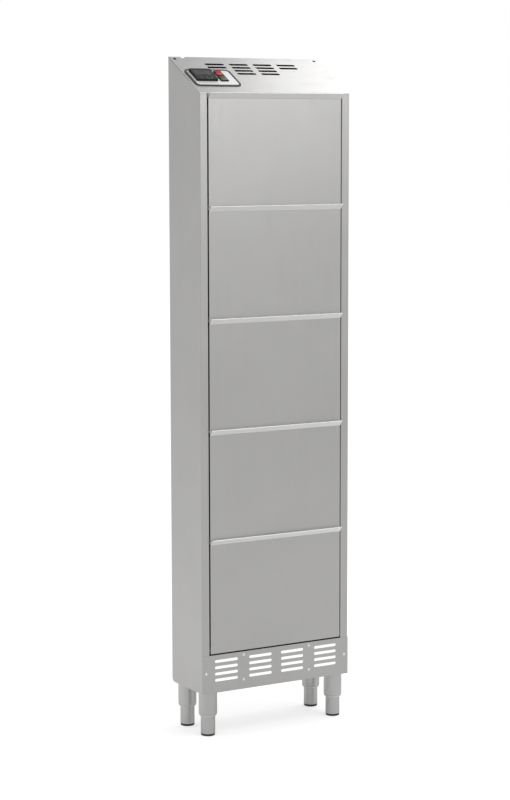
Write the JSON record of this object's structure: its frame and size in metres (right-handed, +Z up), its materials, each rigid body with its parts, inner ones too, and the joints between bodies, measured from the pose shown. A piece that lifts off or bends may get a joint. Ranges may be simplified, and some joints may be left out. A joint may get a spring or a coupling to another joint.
{
  "type": "drying cabinet",
  "caption": "Slim upright sheet-steel drying cabinet with tip-out flaps carrying perforated bins, a sloping vented roof with controls, and adjustable legs.",
  "frame": {"origin": "on the floor, under the middle of the whole cabinet's bounding box", "axes": "+X to the right seen from the front, +Y from the front to the back, +Z up"},
  "size_m": [0.5, 0.1976, 1.9679],
  "materials": {
    "casing_steel": "brushed",
    "inner_steel": "mill",
    "tube_steel": "satin",
    "fixing_steel": "bright",
    "rubber": "matt",
    "nylon": "matt",
    "filter": "fleece",
    "frame_plastic": "satin",
    "plate": "gloss",
    "black_plastic": "satin",
    "window": "gloss",
    "key_plastic": "matt",
    "red_rocker": "translucent",
    "green_rocker": "translucent",
    "blower_plastic": "matt",
    "zinc": "zinc plated",
    "motor": "satin",
    "element": "mill",
    "terminal": "matt"
  },
  "bodies": {
    "cabinet": {"side_left": "casing_steel", "side_right": "casing_steel", "back_panel": "inner_steel", "roof_panel": "casing_steel", "top_deck": "inner_steel", "floor_panel": "inner_steel", "base_plate": "inner_steel", "plinth_panel": "casing_steel", "filter_mat": "filter", "rear_duct": "inner_steel", "pivot_bushes": "nylon", "closing_buffers": "rubber", "leg_sleeve_front_left": "tube_steel", "leg_sleeve_front_right": "tube_steel", "leg_sleeve_back_left": "tube_steel", "leg_sleeve_back_right": "tube_steel", "leg_rings": "nylon", "leg_bolts": "zinc", "plinth_screws": "fixing_steel", "back_rivets": "fixing_steel", "panel_frame": "frame_plastic", "panel_plate": "plate", "thermostat_case": "black_plastic", "thermostat_window": "window", "heater_switch_case": "black_plastic", "power_switch_case": "black_plastic", "blower_case": "zinc", "blower_motor": "motor", "heater": "element", "cable_gland": "black_plastic", "terminal_block": "terminal"},
    "flap_body_1": {"flap_1": "casing_steel", "shoe_bin_1": "inner_steel", "flap_pins_1": "fixing_steel"},
    "flap_body_2": {"flap_2": "casing_steel", "shoe_bin_2": "inner_steel", "flap_pins_2": "fixing_steel"},
    "flap_body_3": {"flap_3": "casing_steel", "shoe_bin_3": "inner_steel", "flap_pins_3": "fixing_steel"},
    "flap_body_4": {"flap_4": "casing_steel", "shoe_bin_4": "inner_steel", "flap_pins_4": "fixing_steel"},
    "flap_body_5": {"flap_5": "casing_steel", "shoe_bin_5": "inner_steel", "flap_pins_5": "fixing_steel"},
    "foot_front_left": {"foot_tube_front_left": "tube_steel", "foot_pad_front_left": "rubber"},
    "foot_front_right": {"foot_tube_front_right": "tube_steel", "foot_pad_front_right": "rubber"},
    "foot_back_left": {"foot_tube_back_left": "tube_steel", "foot_pad_back_left": "rubber"},
    "foot_back_right": {"foot_tube_back_right": "tube_steel", "foot_pad_back_right": "rubber"},
    "heater_switch": {"heater_rocker": "red_rocker"},
    "power_switch": {"power_rocker": "green_rocker"},
    "down_key": {"key_down": "key_plastic"},
    "up_key": {"key_up": "key_plastic"},
    "set_key": {"key_set": "key_plastic"},
    "blower_rotor": {"blower_wheel": "blower_plastic"}
  },
  "joints": [
    {"name": "flap_1_hinge", "type": "hinge", "parent": "cabinet", "child": "flap_body_1", "pos_m": [0, -0.07435, 1.541], "axis": [1, 0, 0], "range_deg": [0, 32]},
    {"name": "flap_2_hinge", "type": "hinge", "parent": "cabinet", "child": "flap_body_2", "pos_m": [0, -0.07435, 1.221], "axis": [1, 0, 0], "range_deg": [0, 32]},
    {"name": "flap_3_hinge", "type": "hinge", "parent": "cabinet", "child": "flap_body_3", "pos_m": [0, -0.07435, 0.901], "axis": [1, 0, 0], "range_deg": [0, 32]},
    {"name": "flap_4_hinge", "type": "hinge", "parent": "cabinet", "child": "flap_body_4", "pos_m": [0, -0.07435, 0.581], "axis": [1, 0, 0], "range_deg": [0, 32]},
    {"name": "flap_5_hinge", "type": "hinge", "parent": "cabinet", "child": "flap_body_5", "pos_m": [0, -0.07435, 0.257], "axis": [1, 0, 0], "range_deg": [0, 32]},
    {"name": "foot_front_left_slide", "type": "slide", "parent": "cabinet", "child": "foot_front_left", "axis": [0, 0, -1], "range_m": [0, 0.025]},
    {"name": "foot_front_right_slide", "type": "slide", "parent": "cabinet", "child": "foot_front_right", "axis": [0, 0, -1], "range_m": [0, 0.025]},
    {"name": "foot_back_left_slide", "type": "slide", "parent": "cabinet", "child": "foot_back_left", "axis": [0, 0, -1], "range_m": [0, 0.025]},
    {"name": "foot_back_right_slide", "type": "slide", "parent": "cabinet", "child": "foot_back_right", "axis": [0, 0, -1], "range_m": [0, 0.025]},
    {"name": "heater_rocker_tip", "type": "hinge", "parent": "cabinet", "child": "heater_switch", "pos_m": [-0.1365, 0.00642, 1.9165], "axis": [-1, 0, 0], "range_deg": [0, 16]},
    {"name": "power_rocker_tip", "type": "hinge", "parent": "cabinet", "child": "power_switch", "pos_m": [-0.1365, -0.02058, 1.90128], "axis": [-1, 0, 0], "range_deg": [0, 16]},
    {"name": "down_key_press", "type": "slide", "parent": "cabinet", "child": "down_key", "axis": [0, 0.4909, -0.8712], "range_m": [0, 0.0007], "stiffness_N_per_m": 300, "springref_m": -0.0007},
    {"name": "up_key_press", "type": "slide", "parent": "cabinet", "child": "up_key", "axis": [0, 0.4909, -0.8712], "range_m": [0, 0.0007], "stiffness_N_per_m": 300, "springref_m": -0.0007},
    {"name": "set_key_press", "type": "slide", "parent": "cabinet", "child": "set_key", "axis": [0, 0.4909, -0.8712], "range_m": [0, 0.0007], "stiffness_N_per_m": 300, "springref_m": -0.0007},
    {"name": "blower_spin", "type": "hinge", "parent": "cabinet", "child": "blower_rotor", "pos_m": [-0.029, 0.0795, 0.185], "axis": [0, 1, 0], "continuous": true}
  ]
}
